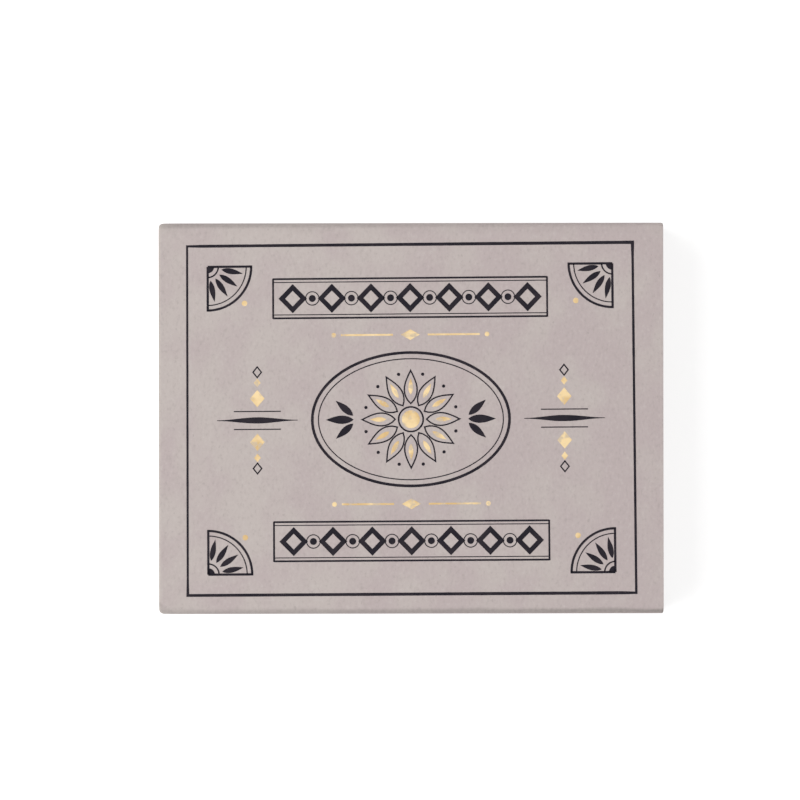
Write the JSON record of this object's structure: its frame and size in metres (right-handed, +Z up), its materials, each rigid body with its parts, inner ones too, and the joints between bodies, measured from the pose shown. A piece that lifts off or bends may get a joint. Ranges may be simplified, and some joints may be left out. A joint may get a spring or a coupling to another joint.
{
  "type": "slide box of wire clips",
  "caption": "Flat folded-card slide box: an open-ended sleeve, a sliding tray, and bent brass wire paper clips lying in layers in the tray.",
  "frame": {"origin": "middle of the sleeve's underside, on the surface that the box lies on", "axes": "+Z up through the printed face, +X along the box, the way the tray slides, and +Y across it, towards the top of the print"},
  "size_m": [0.09, 0.0698, 0.015],
  "materials": {
    "sleeve_card": "matte",
    "tray_card": "matte",
    "brass_wire": "satin"
  },
  "bodies": {
    "sleeve": {"sleeve": "sleeve_card"},
    "tray": {"tray": "tray_card", "clip_01": "brass_wire", "clip_02": "brass_wire", "clip_03": "brass_wire", "clip_04": "brass_wire", "clip_05": "brass_wire", "clip_06": "brass_wire", "clip_07": "brass_wire", "clip_08": "brass_wire", "clip_09": "brass_wire", "clip_10": "brass_wire"}
  },
  "joints": [
    {"name": "tray_slide", "type": "slide", "parent": "sleeve", "child": "tray", "axis": [1, 0, 0], "range_m": [-0.07, 0.07]}
  ]
}
